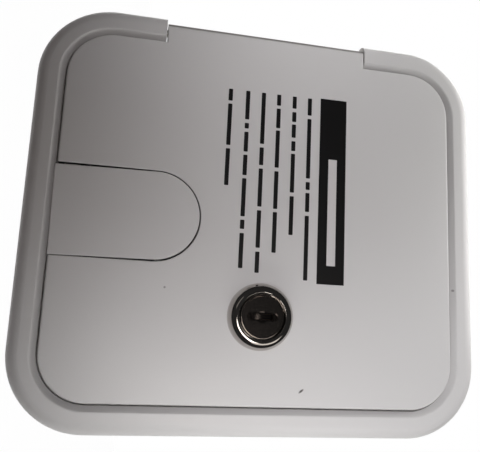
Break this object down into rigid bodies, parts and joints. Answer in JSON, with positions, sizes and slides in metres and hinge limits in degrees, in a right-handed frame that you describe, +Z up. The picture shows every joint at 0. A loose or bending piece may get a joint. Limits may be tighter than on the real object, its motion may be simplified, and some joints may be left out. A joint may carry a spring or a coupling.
{
  "type": "rv power cord hatch",
  "caption": "Lockable wall hatch for a caravan's supply cord: moulded frame with a collar, side-hinged door, cam lock, and a swinging arched flap that lets the cord out.",
  "frame": {"origin": "centre of the four screw holes, on the plane where the flange meets the wall's outer face", "axes": "+Z up as hung, -Y out of the wall towards the person, +Y into the vehicle, -X the hinge side and +X the lock side"},
  "size_m": [0.162, 0.046, 0.181],
  "materials": {
    "white_moulding": "white moulded plastic, semi-gloss",
    "black_rubber": "black extruded rubber",
    "stainless_pin": "drawn stainless wire",
    "plated_zinc": "nickel-plated zinc casting, polished",
    "plated_plug": "nickel-plated zinc casting, satin face",
    "zinc_plated_steel": "bright zinc-plated steel",
    "wafer_brass": "stamped brass",
    "spring_steel": "drawn spring wire"
  },
  "bodies": {
    "frame": {"frame": "white_moulding", "hinge_pin": "stainless_pin", "door_seal": "black_rubber"},
    "door": {"door": "white_moulding", "lock_body": "plated_zinc", "lock_nut": "zinc_plated_steel", "lock_washer": "zinc_plated_steel"},
    "cord_flap": {"cord_flap": "white_moulding"},
    "lock_plug": {"lock_plug": "plated_plug", "keyway_shutter": "plated_plug", "stop_washer": "zinc_plated_steel", "lock_cam": "zinc_plated_steel", "cam_washer": "zinc_plated_steel", "cam_screw": "zinc_plated_steel", "wafer_1": "wafer_brass", "wafer_2": "wafer_brass", "wafer_3": "wafer_brass", "wafer_4": "wafer_brass", "wafer_5": "wafer_brass", "wafer_spring_1": "spring_steel", "wafer_spring_2": "spring_steel", "wafer_spring_3": "spring_steel", "wafer_spring_4": "spring_steel", "wafer_spring_5": "spring_steel"}
  },
  "joints": [
    {"name": "door_hinge", "type": "hinge", "parent": "frame", "child": "door", "pos_m": [-0.075, -0.0043, -0.0007], "axis": [0, 0, -1], "range_deg": [0, 120]},
    {"name": "flap_pivot", "type": "hinge", "parent": "door", "child": "cord_flap", "pos_m": [0.0008, -0.0061, -0.042], "axis": [-1, 0, 0], "range_deg": [0, 85]},
    {"name": "lock_turn", "type": "hinge", "parent": "door", "child": "lock_plug", "pos_m": [0.0366, 0, 0], "axis": [0, -1, 0], "range_deg": [0, 90]}
  ]
}
